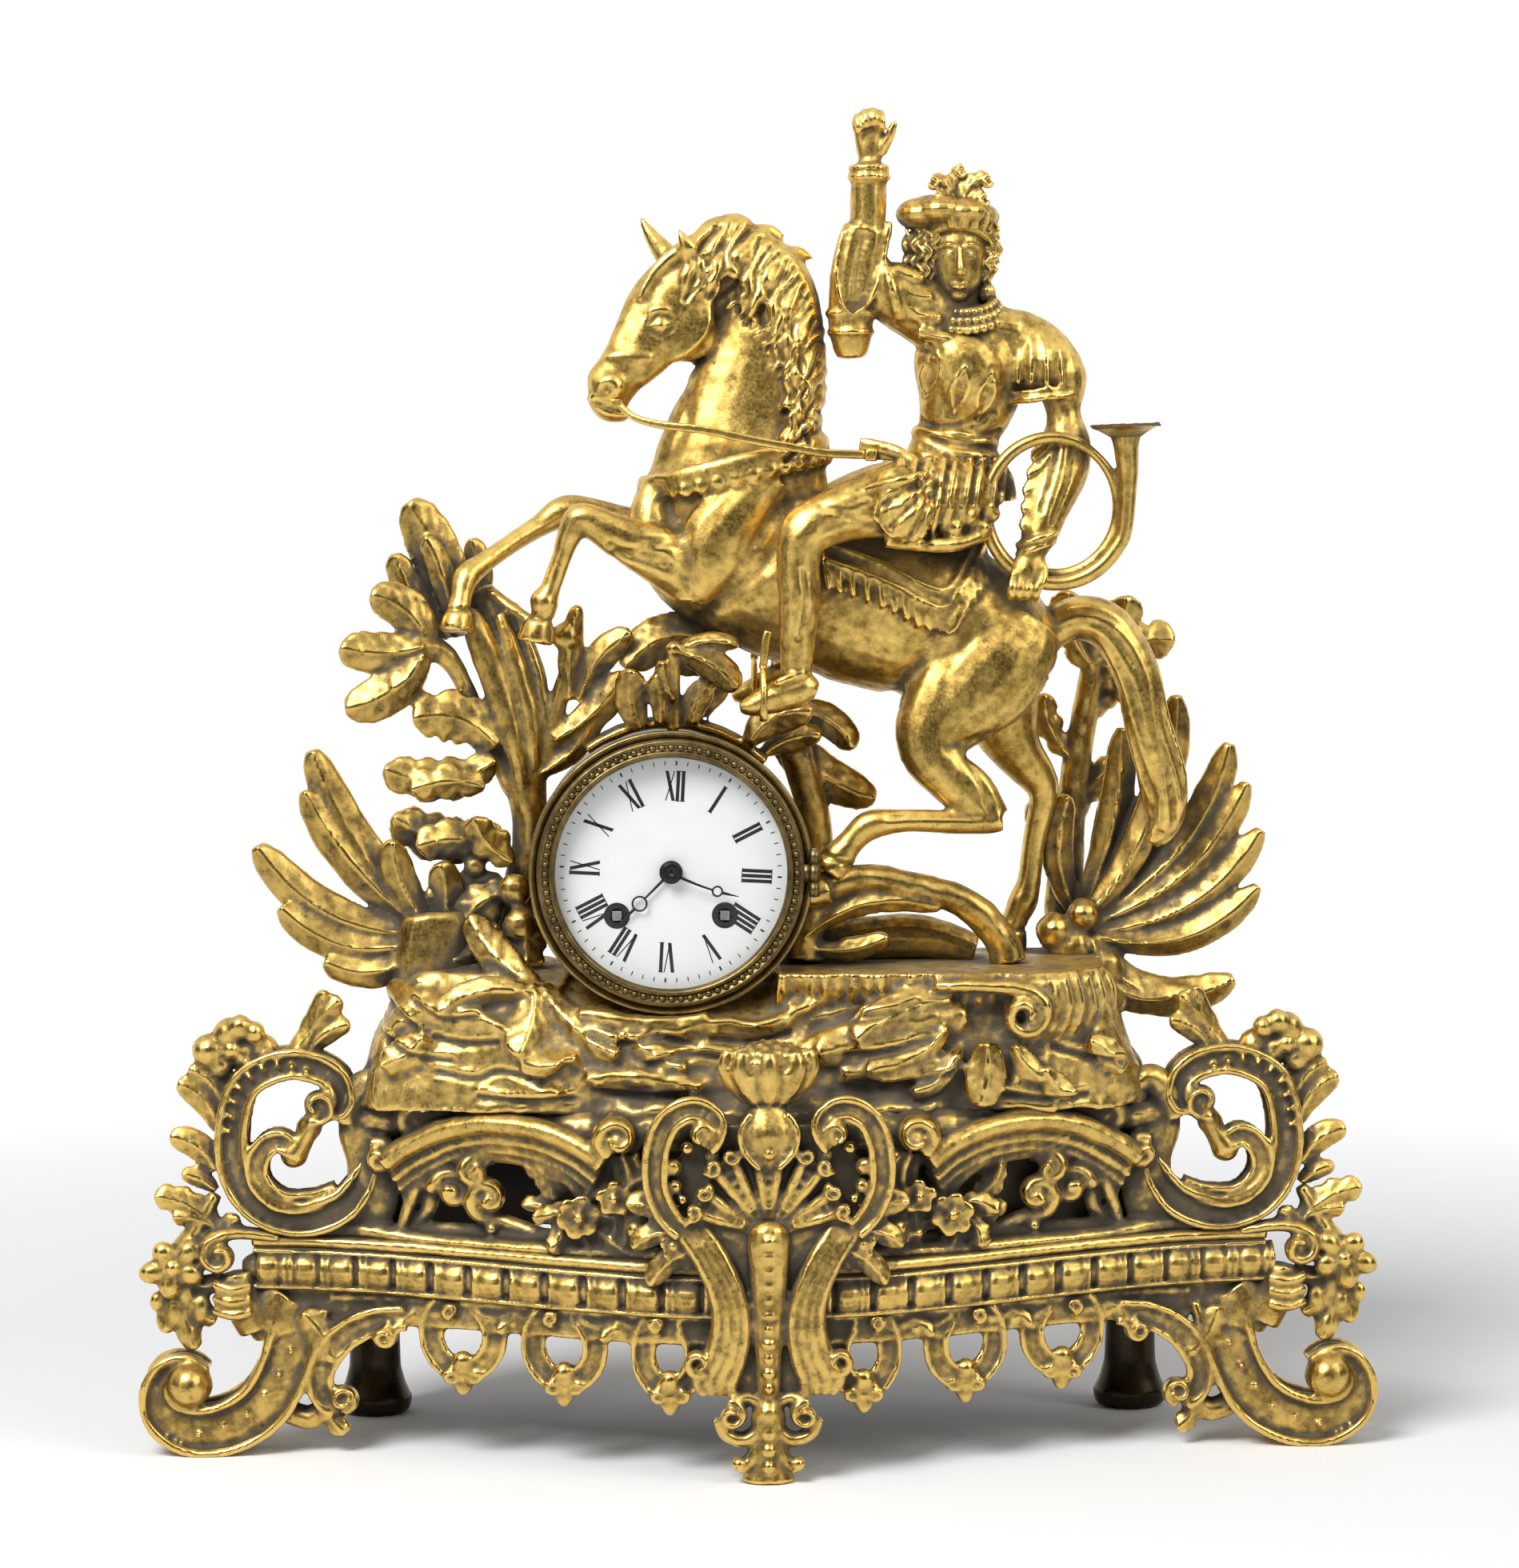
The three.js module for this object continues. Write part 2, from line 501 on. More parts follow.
const raisedFore = [
  [33, 0, 380, 4.5, 4.5], [34, 0, 384, 7.6, 7.4], [36, 0, 396, 8.4, 8], [38, 0, 430, 6, 6],
  [38.5, 0, 447, 6.8, 6.8], [38.7, 0, 451, 4, 3.6], [39, 0, 460, 6.2, 4.2], [39.5, 0, 468, 4, 3],
];
const hornArm = [
  [88, 5, 388, 11, 9], [98, 4, 383, 11, 10], [105, 2, 374, 11, 10], [108, 0, 357, 7.8, 7.6],
  [107, -2, 344, 7.5, 7], [98, -10, 318, 5.8, 5.8], [95, -12, 312, 4.4, 4.2], [92, -13, 303, 6, 5],
  [90, -13, 296, 3, 3],
];
const thigh = [
  [74, -4, 333, 14, 11], [58, -14, 333, 14, 12], [42, -20, 331, 12.5, 11], [27, -25, 327, 9.5, 8.5],
  [15, -27, 322, 8.5, 8], [12, -28, 312, 7.4, 7], [10.5, -28, 290, 6.6, 6.2], [9.5, -28, 271, 5, 4.8],
];
const shoe = [
  [17, -28, 267, 3, 3], [13, -28, 267, 5, 4.6], [5, -28, 264, 5, 4.8], [-3, -28, 261.5, 3.6, 3.6],
  [-8, -28, 260.5, 1.6, 1.8],
];
const feathers = [[[66, 432], [74, 449], 4], [[75, 430], [88, 438], 3.4]];
// Hunting horn: a bell that runs into one and a third turns of tapering tube
const HORN = { x: 102, y: -14, z: 329, rx: 25.5, rz: 27, turns: 1.28 };
const hornLine = [
  [126.5, -14, 358, 12.5, 12.5], [126.7, -14, 354, 9, 9], [127, -14, 348, 5.6, 5.6],
  [127.4, -14, 340, 4, 4],
];
const HORN_STEPS = 18;
for (let i = 1; i <= HORN_STEPS; i++) {
  const turn = (-2 * Math.PI * HORN.turns * i) / HORN_STEPS;
  const shrink = 1 - (0.16 * i) / HORN_STEPS;
  const r = 3.1 - (1.5 * i) / HORN_STEPS;
  hornLine.push([
    HORN.x + HORN.rx * shrink * Math.cos(turn), HORN.y + (3.8 * i) / HORN_STEPS,
    HORN.z + HORN.rz * shrink * Math.sin(turn), r, r,
  ]);
}
const horn = limb(hornLine, { sides: 5 });
let rider = join([
  limb(torso),
  limb(head),
  limb(hat, { sides: 6 }),
  limb(raisedUpper),
  limb(raisedFore, { sides: 5 }),
  limb(hornArm, { sides: 5 }),
  limb(thigh, { sides: 5 }),
  limb(farSide(thigh), { sides: 5 }),
  limb(shoe, { sides: 4 }),
  limb(farSide(shoe), { sides: 4 }),
  ...feathers.map(([p, q, w]) => leaf(p, q, w, { y: 4, t: 2 })),
]);
rider = rider.subtract(bodyShape(CLOTH + GAP)).subtract(limb(hornLine, { sides: 5, grow: GAP }));

// Reins and stirrups
const reinLine = [
  [-49, -6, 366, 0.9, 0.9], [-40, -11, 359, 0.9, 0.9], [-26, -12.5, 357, 0.9, 0.9],
  [-8, -13, 353.5, 0.9, 0.9], [8, -13, 350, 0.9, 0.9], [24, -12.5, 347, 0.9, 0.9],
  [40, -13, 345.5, 0.9, 0.9], [55, -12, 345, 0.9, 0.9], [62, -2, 345, 0.9, 0.9],
];
const reins = limb(reinLine, { sides: 4 })
  .subtract(limb(headLine, { grow: GAP }))
  .subtract(limb(torso, { grow: GAP }))
  .subtract(limb(thigh, { sides: 5, grow: GAP }));
// A stirrup hangs across the shoe: a flat ring seen from the front of the horse
const STIRRUP = { y: -28, top: 287, foot: 256, half: 6.6, bar: 1.9, thick: 1.8 };
function stirrup(y) {
  const plate = (inset, thick) => {
    const outline = [
      [0, STIRRUP.top - inset * 1.5], [inset - STIRRUP.half * 0.84, 272], [inset - STIRRUP.half, 261],
      [
        inset - STIRRUP.half * 0.7, STIRRUP.foot + inset,
      ], [STIRRUP.half * 0.7 - inset, STIRRUP.foot + inset],
      [STIRRUP.half - inset, 261], [STIRRUP.half * 0.84 - inset, 272],
    ];
    const shape = new THREE.Shape(outline.map(([u, v]) => new THREE.Vector2(u, v)));
    const g = new THREE.ExtrudeGeometry(shape, { depth: thick, bevelEnabled: false });
    return solid(
      g.translate(0, 0, -thick / 2).rotateX(Math.PI / 2).rotateZ(Math.PI / 2).translate(0, y, 0)
    );
  };
  return plate(0, STIRRUP.thick).subtract(plate(STIRRUP.bar, 2 * STIRRUP.thick));
}

// Foliage
const trunk = [
  [-92, 8, 165, 9, 8], [-90, 8, 190, 7.5, 7], [-88.5, 7, 221, 6.5, 6.5], [-95, 4, 252, 7, 6],
  [-104, 3, 284, 7.5, 5], [-114, 2, 312, 6.5, 3.5], [-122, 2, 331, 0.8, 0.8],
];
const treeSpray = join([
  limb(trunk, { sides: 5 }),
  leaf([-102, 278], [-127, 314], 5, { y: 1 }),
  limb(
    [[-96, 4, 254, 3, 3], [-108, 0, 262, 2.6, 2.6], [-117, -2, 270, 2.6, 2.6], [-124, -3, 277, 5, 4]],
    { sides: 4 }
  ),
  ...[[-135, 298], [-146, 281], [-143, 260]].map((tip) => leaf([-121, 275], tip, 7, { y: -3, lean: -3 })),
  leaf([-92, 246], [-131, 238], 6, { y: 2, lean: -4, bend: -0.14 }),
  leaf([-90, 212], [-127, 220], 8, { y: 4, lean: -6, bend: -0.16 }),
  leaf([-91, 196], [-118, 197], 7, { y: 4, lean: -8 }),
  limb(
    [[-89, 6, 222, 3, 3], [-76, 3, 241, 2.6, 2.6], [-66, 1, 256, 2.6, 2.6], [-59, 0, 268, 4, 3.4]],
    { sides: 4 }
  ),
  ...[[-51, 285], [-45, 271], [-65, 294]].map((tip) => leaf([-60, 266], tip, 5, { y: 0, lean: -2 })),
]);
const leftReeds = join([
  limb([[-119, -4, 168, 9, 9], [-120, -4, 182, 8, 7], [-124, -5, 190, 4, 4]], { sides: 5 }),
  ...[
    [-157, 244], [-158, 229], [-174, 211], [-166, 191],
  ].map((tip, i) => leaf([-119, 184 - 2 * i], tip, 5, { y: -5 - i, lean: -2, bend: 0.08 })),
  leaf([-118, 180], [-150, 172], 5, { y: -8, lean: -4 }),
]);
const crestPad = Array.from({ length: 9 }, (_, i) => {
  const [c, s] = polar(DRUM.r + 2.8, 54 + 9 * i);
  return [DRUM.x + c, 0, DRUM.z + s, 2.2, 5];
});
const crestLeaves = join([
  limb(crestPad, { sides: 4, flat: true }),
  ...[
    [[-21, 255], [-18, 282], 6], [[-28, 256], [-33, 280], 6], [[-34, 256], [-49, 266], 6],
    [[-14, 252], [-4, 271], 6], [[-6, 249], [14, 258], 6],
  ]
    .map(([p, q, w], i) => leaf(p, q, w, { y: -4 + i, lean: -4 })),
]);
const rightBush = join([
  limb(
    [
      [112, 38, 165, 8, 7], [113, 40, 200, 6, 5], [117, 40, 240, 5, 4], [122, 38, 270, 4.5, 4],
      [124, 36, 282, 6, 5],
    ],
    { sides: 5 }
  ),
  ...[
    [110, 299], [129, 296], [148, 284], [142, 266],
  ].map((tip) => leaf([123, 277], tip, 6, { y: 36, lean: -3 })),
  leaf([114, 215], [134, 236], 6, { y: 39, lean: 3 }),
]);
const rightReeds = join([
  limb([[119, 24, 160, 9, 8], [121, 24, 178, 8, 7], [125, 24, 188, 4, 4]], { sides: 5 }),
  ...[
    [150, 261], [168, 244], [179, 215], [179, 195],
  ].map((tip, i) => leaf([121, 184 - 2 * i], tip, 5, { y: 24 - i, lean: -2, bend: -0.08 })),
  leaf([121, 172], [168, 162], 6, { y: 18, lean: -4, bend: -0.1 }),
]);
const log = [
  [8, -14, 176, 10, 9], [16, -14, 182, 16, 12], [34, -15, 184, 18.5, 13], [54, -15, 182, 16.5, 13],
  [74, -15, 178, 15, 12], [86, -14, 171, 8, 9],
];
const branch = limb(log).subtract(socket(nearCannon)).subtract(drumSpace(1));

// A casting set down on what carries it, a clearance above
function seat(name, body, carrier, look) {
  const made = add(name, body.subtract(carrier), look);
  made.position.z = GAP;
}

add('base_shell', baseShell, gilt);
add('base_apron', apron, gilt);
add('gadroon_moulding', gadroonRod(0), gilt);
add('left_scroll', cornerScroll(-1), gilt);
add('right_scroll', cornerScroll(1), gilt);
add('left_flower_drop', flowerDrop(-1), gilt);
add('right_flower_drop', flowerDrop(1), gilt);
add('centre_cartouche', cartouche(), gilt);
add('back_left_foot', backFoot(-1), gilt);
add('back_right_foot', backFoot(1), gilt);
add('rock_mound', mound, gilt);
add('horse', horse, gilt);
add('rider', rider, gilt);
add('hunting_horn', horn, gilt);
add('reins', reins, gilt);
add('near_stirrup', stirrup(STIRRUP.y), gilt);
add('far_stirrup', stirrup(2 * HORSE_Y - STIRRUP.y), gilt);
seat('tree_spray', treeSpray, mound, gilt);
seat('left_reeds', leftReeds, mound, gilt);
add('crest_leaves', crestLeaves, gilt);
seat('right_bush', rightBush, mound, gilt);
seat('right_reeds', rightReeds, mound, gilt);
seat('fallen_branch', branch, mound, gilt);

// Clock, in its own frame: x right, y up, z towards the viewer, zero on the dial's face
const clock = new THREE.Group();
clock.position.set(DRUM.x, DIAL_Y, DRUM.z);
clock.rotation.x = Math.PI / 2;
root.add(clock);

function turned(profile, segments = 20) {
  const g = new THREE.LatheGeometry(profile.map(([r, z]) => new THREE.Vector2(r, z)), segments);
  return solid(g.rotateX(Math.PI / 2));
}
function rod(x, y, r, z0, z1, segments = 6) {
  const g = new THREE.CylinderGeometry(r, r, z1 - z0, segments);
  return solid(g.rotateX(Math.PI / 2).translate(x, y, (z0 + z1) / 2));
}
function upright(x, z, r, y0, y1, segments = 6) {
  return solid(new THREE.CylinderGeometry(r, r, y1 - y0, segments).translate(x, (y0 + y1) / 2, z));
}

const HINGE = { x: 48.8, z: 7, r: 1.8, pin: 0.8, gap: 0.2, part: 3, long: 8 };
const BACK_HINGE = { x: 46.9, z: -70 };
function knuckle(x, z, y0, y1) {
  return upright(x, z, HINGE.r, y0, y1).subtract(upright(x, z, HINGE.pin + HINGE.gap, y0 - 1, y1 + 1));
}
const inner = DRUM.r - DRUM.wall;
let drumCase = turned([
  [inner, DRUM.back], [DRUM.r, DRUM.back], [DRUM.r, DRUM.front - FLANGE.t], [FLANGE.r, DRUM.front - FLANGE.t + 0.8], [FLANGE.r, DRUM.front],
  [BEZEL.outer + FIT * 2, DRUM.front], [BEZEL.outer + FIT * 2, 0.4], [inner, 0.4], [inner, -DIAL.t - GAP], [LEDGE.inner, -DIAL.t - GAP], [LEDGE.inner, LEDGE.back], [inner, LEDGE.back], [inner, DRUM.back],
]);
for (const s of [-1, 1]) {
  const [y0, y1] = [s * (HINGE.part + HINGE.gap), s * HINGE.long].sort((p, q) => p - q);
  drumCase = drumCase
    .add(knuckle(HINGE.x, HINGE.z, y0, y1))
    .add(box(FLANGE.r - 1.6, HINGE.x - HINGE.pin - 0.4, y0, y1, DRUM.front - 1, HINGE.z - 0.9));
  drumCase = drumCase
    .add(knuckle(BACK_HINGE.x, BACK_HINGE.z, y0, y1))
    .add(box(DRUM.r - 1.6, BACK_HINGE.x, y0, y1, BACK_HINGE.z + 0.9, DRUM.back + 1));
}
drumCase = drumCase.subtract(box(-9.5, 9.5, -60, -36, PENDULUM.z - 5, PENDULUM.z + 5));
add('drum_case', drumCase, brass, clock);

const bezelRing = turned([
  [BEZEL.inner + 1.6, BEZEL.back], [BEZEL.outer, BEZEL.back], [BEZEL.outer, 5.4], [45, 8], [43, BEZEL.front], [41.4, 7.4], [BEZEL.inner, 6.6], [BEZEL.inner, 5.6], [BEZEL.inner + 1.6, 5.6], [BEZEL.inner + 1.6, BEZEL.back],
]);
const bezelTab = box(
  44, HINGE.x - HINGE.pin - 0.4, -HINGE.part, HINGE.part, DRUM.front + 0.8, HINGE.z + 0.6
);
const bezelBody = bezelRing
  .add(bezelTab.subtract(turned([[0, 0], [43.4, 0], [43.4, 8], [0, 8]])))
  .add(knuckle(HINGE.x, HINGE.z, -HINGE.part, HINGE.part));
add('bezel', bezelBody, brass, clock);
add(
  'bezel_glass',
  turned([[0, 4.6], [BEZEL.inner + 1.6 - FIT, 4.6], [BEZEL.inner + 1.6 - FIT, 5.4], [0, 5.4]]), glass,
  clock
);
add(
  'bezel_hinge_pin', upright(HINGE.x, HINGE.z, HINGE.pin, -HINGE.long - 0.6, HINGE.long + 0.6), steel,
  clock
);
const backTab = box(
  44, BACK_HINGE.x - HINGE.pin - 0.4, -HINGE.part, HINGE.part, BACK_HINGE.z - 1, DRUM.back - GAP
);
const backCover = turned([
  [0, -70.6], [45, -70.6], [46, -70], [46, DRUM.back - GAP], [inner - GAP, DRUM.back - GAP],
  [inner - GAP, DRUM.back + 1.6], [inner - 1.6, DRUM.back + 1.6], [inner - 1.6, -69.4], [0, -69.4],
]);
const coverBody = backCover
  .subtract(box(43.5, 50, -HINGE.long - 0.5, HINGE.long + 0.5, -80, DRUM.back + 5))
  .add(box(42.6, 44.4, -HINGE.part, HINGE.part, -70.4, -69))
  .add(backTab)
  .add(knuckle(BACK_HINGE.x, BACK_HINGE.z, -HINGE.part, HINGE.part));
add('back_cover', coverBody, brass, clock);
add(
  'back_cover_hinge_pin',
  upright(BACK_HINGE.x, BACK_HINGE.z, HINGE.pin, -HINGE.long - 0.6, HINGE.long + 0.6), steel, clock
);

// Places of the train
const pitch = (teeth) => (TRAIN_MODULE * teeth) / 2;
const reach = (a, b) => pitch(a) + pitch(b) + TRAIN_MODULE * (1 - MESH_DEPTH);
function meet([x0, y0], r0, [x1, y1], r1, hand) {
  const [dx, dy] = [x1 - x0, y1 - y0];
  const d = Math.hypot(dx, dy);
  const a = (r0 * r0 - r1 * r1 + d * d) / (2 * d);
  const h = hand * Math.sqrt(r0 * r0 - a * a);
  return [x0 + (a * dx - h * dy) / d, y0 + (a * dy + h * dx) / d];
}
const goingAt = [BARREL.x, BARREL.y];
const strikeAt = [-BARREL.x, BARREL.y];
const centreAt = [0, 0];
const escapeAt = [0, ESCAPE.y];
const secondAt = meet(
  goingAt, reach(BARREL.teeth, SECOND.pinion), centreAt, reach(SECOND.teeth, CENTRE.pinion), -1
);
const thirdAt = meet(
  centreAt, reach(CENTRE.teeth, THIRD.pinion), escapeAt, reach(THIRD.teeth, ESCAPE.pinion), 1
);
const off = ([x, y], r, degrees) => [x + polar(r, degrees)[0], y + polar(r, degrees)[1]];
const strikeSecondAt = off(strikeAt, reach(BARREL.teeth, STRIKE_SECOND.pinion), STRIKE_SECOND.angle);
const pinAt = off(strikeSecondAt, reach(STRIKE_SECOND.teeth, PIN_WHEEL.pinion), PIN_WHEEL.angle);
const flyAt = off(pinAt, reach(PIN_WHEEL.teeth, FLY.pinion), FLY.angle);
const minuteReach = (
  MOTION_MODULE * (CANNON_TEETH + MINUTE_WHEEL.teeth)
) / 2 + MOTION_MODULE * (1 - MESH_DEPTH);
const minuteAt = [0, -minuteReach];
const HOUR_MODULE = minuteReach / ((MINUTE_WHEEL.pinion + HOUR_TEETH) / 2 + 1 - MESH_DEPTH);
const LEVEL = { one: -11.5, two: -15.5, three: -20, four: -24.5, escape: -35 };

// A toothed disc from z0 up: a tooth of a wheel, or a gap of a pinion, points at its mate's centre
function toothed([x, y], teeth, module, z0, thick, mate, isPinion = false) {
  const shape = new THREE.Shape();
  const r = (module * teeth) / 2;
  const aim = Math.atan2(mate[1] - y, mate[0] - x);
  for (let i = 0; i < 2 * teeth; i++) {
    const turn = aim + (Math.PI * i) / teeth;
    const tip = (i % 2 === 0) !== isPinion;
    const radius = r + (tip ? module * 0.5 : -module * 0.5);
    const [px, py] = [radius * Math.cos(turn), radius * Math.sin(turn)];
    if (i) shape.lineTo(px, py);
    else shape.moveTo(px, py);
  }
  shape.closePath();
  const g = new THREE.ExtrudeGeometry(shape, { depth: thick, bevelEnabled: false });
  return solid(g.translate(x, y, z0));
}
const PIVOT_FRONT = PLATE.front - PLATE.t / 2;
const PIVOT_BACK = PLATE.back - PLATE.t / 2;
function arborWheel(at, wheel, wheelZ, wheelMate, pinionZ, pinionMate, z1 = PIVOT_FRONT) {
  return join([
    rod(at[0], at[1], ARBOR_R, PIVOT_BACK, z1),
    toothed(at, wheel.teeth, TRAIN_MODULE, wheelZ, 1.5, wheelMate),
    toothed(at, wheel.pinion, TRAIN_MODULE, pinionZ - 0.4, 2.4, pinionMate, true),
  ]);
}
function barrel(at, mate) {
  const body = join([
    rod(at[0], at[1], BARREL.drum, -38, -22.5, 12),
    rod(at[0], at[1], BARREL.hub, -23, LEVEL.two + 0.5, 8),
    toothed(at, BARREL.teeth, TRAIN_MODULE, LEVEL.two, 1.5, mate),
  ]);
  return body.subtract(rod(at[0], at[1], 1.8 + FIT * 2, -60, 10, 8));
}
function windingArbor([x, y]) {
  const square = box(x - 1.3, x + 1.3, y - 1.3, y + 1.3, -2, HAND_Z.hour - GAP);
  return join([rod(x, y, 1.8, PIVOT_BACK, -1, 8), square]);
}
const arborPlaces = [secondAt, thirdAt, strikeSecondAt, pinAt, flyAt, escapeAt];
const HOLE = ARBOR_R + FIT * 2;
function plateBlank(z0, z1) {
  let body = rod(0, 0, PLATE.r, z0, z1, 20);
  for (const at of arborPlaces) body = body.subtract(rod(at[0], at[1], HOLE, z0 - 1, z1 + 1));
  for (const at of [goingAt, strikeAt]) body = body.subtract(rod(
    at[0], at[1], 1.8 + FIT * 2, z0 - 1, z1 + 1, 8
  ));
  return body;
}
const frontPlate = plateBlank(PLATE.front - PLATE.t, PLATE.front)
  .subtract(rod(0, 0, 2, -30, 0, 8)).subtract(rod(0, ANCHOR_Y, HOLE, -30, 0));
const backPlate = plateBlank(PLATE.back - PLATE.t, PLATE.back)
  .subtract(rod(0, 0, HOLE, -60, 0))
    .subtract(rod(0, ANCHOR_Y, 2.6, -60, 0, 8))
    .subtract(box(-9.5, 9.5, -60, -40.5, -60, 0));
add(
  'front_plate', frontPlate.add(rod(minuteAt[0], minuteAt[1], ARBOR_R, PLATE.front - 1, -2)), brass,
  clock
);
add('back_plate', backPlate, brass, clock);
[30, 112, 190, 275].forEach((degrees, i) => {
  const [x, y] = polar(37, degrees);
  const [z0, z1] = [PLATE.back + 0.05, PLATE.front - PLATE.t - 0.05];
  const pillar = turned([[0, z0], [2.2, z0], [1.6, z0 + 5], [1.6, z1 - 5], [2.2, z1], [0, z1]], 6);
  const made = add(`pillar_${i + 1}`, pillar, brass, clock);
  made.position.set(x, y, 0);
});
add('going_barrel', barrel(goingAt, secondAt), brass, clock);
add('strike_barrel', barrel(strikeAt, strikeSecondAt), brass, clock);
add('going_winding_arbor', windingArbor(goingAt), steel, clock);
add('strike_winding_arbor', windingArbor(strikeAt), steel, clock);
add('second_wheel', arborWheel(secondAt, SECOND, LEVEL.one, centreAt, LEVEL.two, goingAt), brass, clock);
const cannon = join([
  rod(0, 0, 1.6, -10, 4.2, 8),
  toothed(centreAt, CANNON_TEETH, MOTION_MODULE, -6.4, 1.5, minuteAt, true),
  arborWheel(centreAt, CENTRE, LEVEL.three, thirdAt, LEVEL.one, secondAt),
]);
add('centre_wheel', cannon, brass, clock);
add('third_wheel', arborWheel(thirdAt, THIRD, LEVEL.four, escapeAt, LEVEL.three, centreAt), brass, clock);
const escapeShape = new THREE.Shape();
for (let i = 0; i < ESCAPE.teeth; i++) {
  const [x0, y0] = polar(ESCAPE.r - 1.8, (360 * i) / ESCAPE.teeth);
  const [x1, y1] = polar(ESCAPE.r, (360 * (i + 0.75)) / ESCAPE.teeth);
  if (i) escapeShape.lineTo(x0, y0);
  else escapeShape.moveTo(x0, y0);
  escapeShape.lineTo(x1, y1);
}
escapeShape.closePath();
const escapeDisc = solid(new THREE.ExtrudeGeometry(
  escapeShape, { depth: 1.2, bevelEnabled: false }
).translate(0, ESCAPE.y, LEVEL.escape));
add(
  'escape_wheel',
  join([
    rod(0, ESCAPE.y, ARBOR_R, PIVOT_BACK, PIVOT_FRONT), escapeDisc,
    toothed(escapeAt, ESCAPE.pinion, TRAIN_MODULE, LEVEL.four - 0.4, 2.4, thirdAt, true),
  ]),
  brass, clock
);
const anchorArc = [-1, 1].map((s) => limb([
  [0, ANCHOR_Y, LEVEL.escape + 0.6, 1.6, 1], [
    s * 4.4, ANCHOR_Y - 0.9, LEVEL.escape + 0.6, 1.2, 1,
  ], [
    s * 7.4, ANCHOR_Y - 3.6, LEVEL.escape + 0.6, 1, 1,
  ], [s * 8, ANCHOR_Y - 5.4, LEVEL.escape + 0.6, 0.6, 1],
], { sides: 6, side: [0, 0, 1] }));
const crutchZ = -43.6;
const anchor = join([
  rod(0, ANCHOR_Y, ARBOR_R, crutchZ - 0.6, PIVOT_FRONT),
  ...anchorArc,
  box(-1, 1, 6, ANCHOR_Y, crutchZ - 0.6, crutchZ + 0.6),
]);
add('anchor', anchor, steel, clock);

// Pendulum on its cock
const cockBody = join([
  box(-7, 7, ANCHOR_Y + 3.4, ANCHOR_Y + 6.4, -49.4, PLATE.back - PLATE.t - 0.05),
  box(-7, -3.4, ANCHOR_Y - 2, ANCHOR_Y + 4, -49.4, -44.8),
  box(3.4, 7, ANCHOR_Y - 2, ANCHOR_Y + 4, -49.4, -44.8),
]);
add('suspension_cock', cockBody, brass, clock);
const pz = PENDULUM.z;
const bobY = PENDULUM.bobZ - DRUM.z;
const rodBody = join([
  box(-2.6, 2.6, ANCHOR_Y - 4, ANCHOR_Y + 3, pz - 1, pz + 1),
  box(-PENDULUM.rod, PENDULUM.rod, bobY + PENDULUM.bobR + 0.1, ANCHOR_Y - 3, pz - 0.7, pz + 0.7),
]);
add('pendulum_rod', rodBody, steel, clock);
const bob = turned([[0, -3.4], [6, -3], [PENDULUM.bobR, -0.8], [PENDULUM.bobR, 0.8], [6, 3], [0, 3.4]], 14);
const bobMesh = add('pendulum_bob', bob, brass, clock);
bobMesh.position.set(0, bobY, pz);

// Motion work and hands
const minuteWheel = join([
  toothed(minuteAt, MINUTE_WHEEL.teeth, MOTION_MODULE, -6.2, 1, centreAt),
  toothed(minuteAt, MINUTE_WHEEL.pinion, HOUR_MODULE, -5.6, 3, centreAt, true),
]).subtract(rod(minuteAt[0], minuteAt[1], HOLE, -20, 0, 10));
add('minute_wheel', minuteWheel, brass, clock);
const pipe = { inner: 1.6 + FIT * 2, outer: 2.8 };
const hourWheel = join([
  toothed(centreAt, HOUR_TEETH, HOUR_MODULE, -4.2, 1, minuteAt), rod(0, 0, pipe.outer, -4.2, 2.2, 8),
])
  .subtract(rod(0, 0, pipe.inner, -20, 10, 8));
add('hour_wheel', hourWheel, brass, clock);
let dial = turned([
  [0, -DIAL.t], [DIAL.r, -DIAL.t], [DIAL.r, -0.2], [DIAL.r - 0.6, 0], [0, 0],
]).subtract(rod(0, 0, pipe.outer + 0.5, -5, 5, 8));
for (const at of [goingAt, strikeAt]) dial = dial.subtract(rod(at[0], at[1], DIAL.hole, -5, 5, 8));
add('dial', dial, enamel, clock);

// A hand with an open ring: boss, shaft and point from the centre outwards along +y
function ringHand({ z, boss, bore, ringAt, ringR, long, sway }) {
  const t = 0.8;
  const line = (y0, y1, w) => limb(
    [
      [sway * y0 * y0, y0, z + t / 2, w, t / 2],
      [sway * ((y0 + y1) / 2) ** 2, (y0 + y1) / 2, z + t / 2, w * 0.85, t / 2],
      [sway * y1 * y1, y1, z + t / 2, w * 0.5, t / 2],
    ],
    { sides: 4, side: [0, 0, 1] }
  );
  const ringX = sway * ringAt * ringAt;
  const ring = rod(ringX, ringAt, ringR, z, z + t, 10).subtract(rod(
    ringX, ringAt, ringR - 0.9, z - 1, z + t + 1, 10
  ));
  return join([
    rod(0, 0, boss, z, z + t, 10),
    line(boss - 0.6, ringAt - ringR + 0.5, 0.8),
    ring,
    line(ringAt + ringR - 0.4, long, 0.9),
  ]).subtract(rod(0, 0, bore, z - 1, z + t + 1, 8));
}
const HANDS = {
  hour: {
    z: HAND_Z.hour, boss: 4, bore: pipe.outer + 0.4, ringAt: 15.2, ringR: 2.8, long: 25.6, sway: 0,
    at: 225,
  },
  minute: {
    z: HAND_Z.minute, boss: 2.9, bore: 1.8, ringAt: 17, ringR: 2, long: 24.4, sway: -0.006, at: 118,
  },
};
for (const [name, hand] of Object.entries(HANDS)) {
  const made = add(`${name}_hand`, ringHand(hand), blued, clock);
  made.rotation.z = (-hand.at * Math.PI) / 180;
}
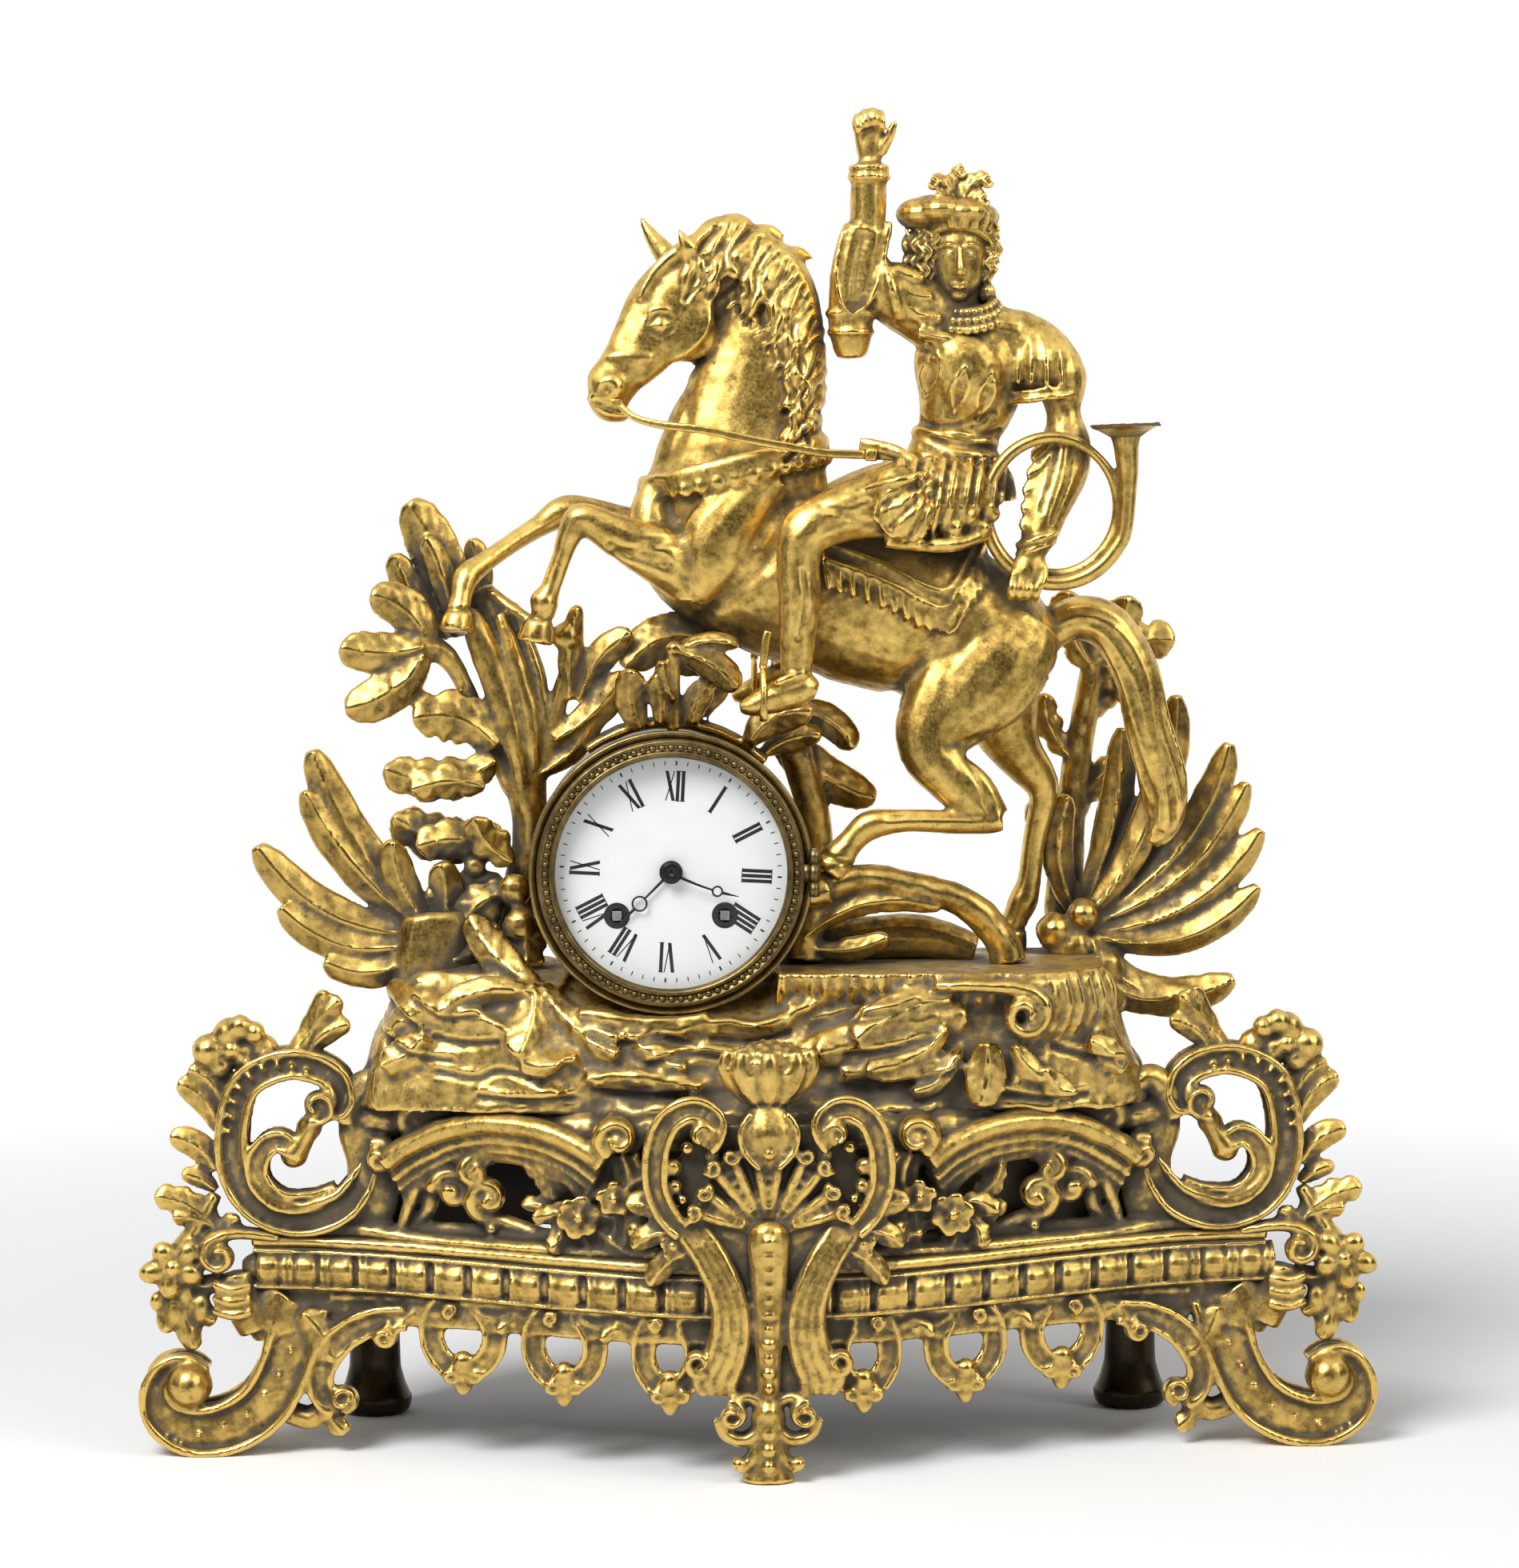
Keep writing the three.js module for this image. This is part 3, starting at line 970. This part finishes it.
add(
  'hand_collet', turned([[1.8, 3.75], [2.6, 3.75], [2.3, 4.15], [1.8, 4.15], [1.8, 3.75]], 8), blued,
  clock
);

// Strike
const strikeSecond = arborWheel(strikeSecondAt, STRIKE_SECOND, LEVEL.one, pinAt, LEVEL.two, strikeAt);
add('strike_second_wheel', strikeSecond, brass, clock);
const pins = Array.from({ length: 4 }, (_, i) => {
  const [x, y] = off(pinAt, 4.8, 90 * i);
  return rod(x, y, 0.6, LEVEL.two - 2.4, LEVEL.two + 0.2, 4);
});
add(
  'pin_wheel',
  join([arborWheel(pinAt, PIN_WHEEL, LEVEL.two, flyAt, LEVEL.one, strikeSecondAt), ...pins]), brass,
  clock
);
const flyBody = join([
  rod(flyAt[0], flyAt[1], ARBOR_R, PIVOT_BACK, PIVOT_FRONT),
  toothed(flyAt, FLY.pinion, TRAIN_MODULE, LEVEL.two - 0.4, 2.4, pinAt, true),
  box(flyAt[0] - FLY.r, flyAt[0] + FLY.r, flyAt[1] - 0.5, flyAt[1] + 0.5, -34, -22),
]);
add('fly', flyBody, brass, clock);
const bellZ = -53;
const bellCup = turned(
  [
    [1.6, bellZ - 13.6], [18, bellZ - 11.4], [BELL_R, bellZ], [BELL_R - 1.8, bellZ], [17, bellZ - 9.8],
    [1.6, bellZ - 12], [1.6, bellZ - 13.6],
  ],
  16
);
add('bell', bellCup, brass, clock);
const standZ = PLATE.back - PLATE.t - 0.05;
const stand = join([
  box(-19, -13, -11, -5, standZ - 2, standZ),
  rod(-16, -8, 1.8, bellZ - 4.6, standZ - 1, 8),
  limb([[-16, -8, bellZ - 4, 1.6, 1.4], [0, 0, bellZ - 4, 1.6, 1.4]], { sides: 6, side: [0, 0, 1] }),
  rod(0, 0, 1.4, bellZ - 14.6, bellZ - 3, 8),
  rod(0, 0, 3, bellZ - 11.7, bellZ - 3, 10),
]);
add('bell_stand', stand, steel, clock);
const HAMMER = { x: -38, y: -9, headX: -31.6, headY: 9.6 };
const hammer = join([
  rod(HAMMER.x, HAMMER.y, 1.2, -52, standZ - 0.1, 8),
  limb(
    [[HAMMER.x, HAMMER.y, -51, 1.6, 1], [-37.4, 2, -51, 1, 0.8], [HAMMER.headX, HAMMER.headY, -51, 1, 0.8]],
    { sides: 6, side: [0, 0, 1] }
  ),
  rod(HAMMER.headX, HAMMER.headY, 2.6, -54, -48.6, 10),
]);
add('hammer', hammer, steel, clock);

export default root;
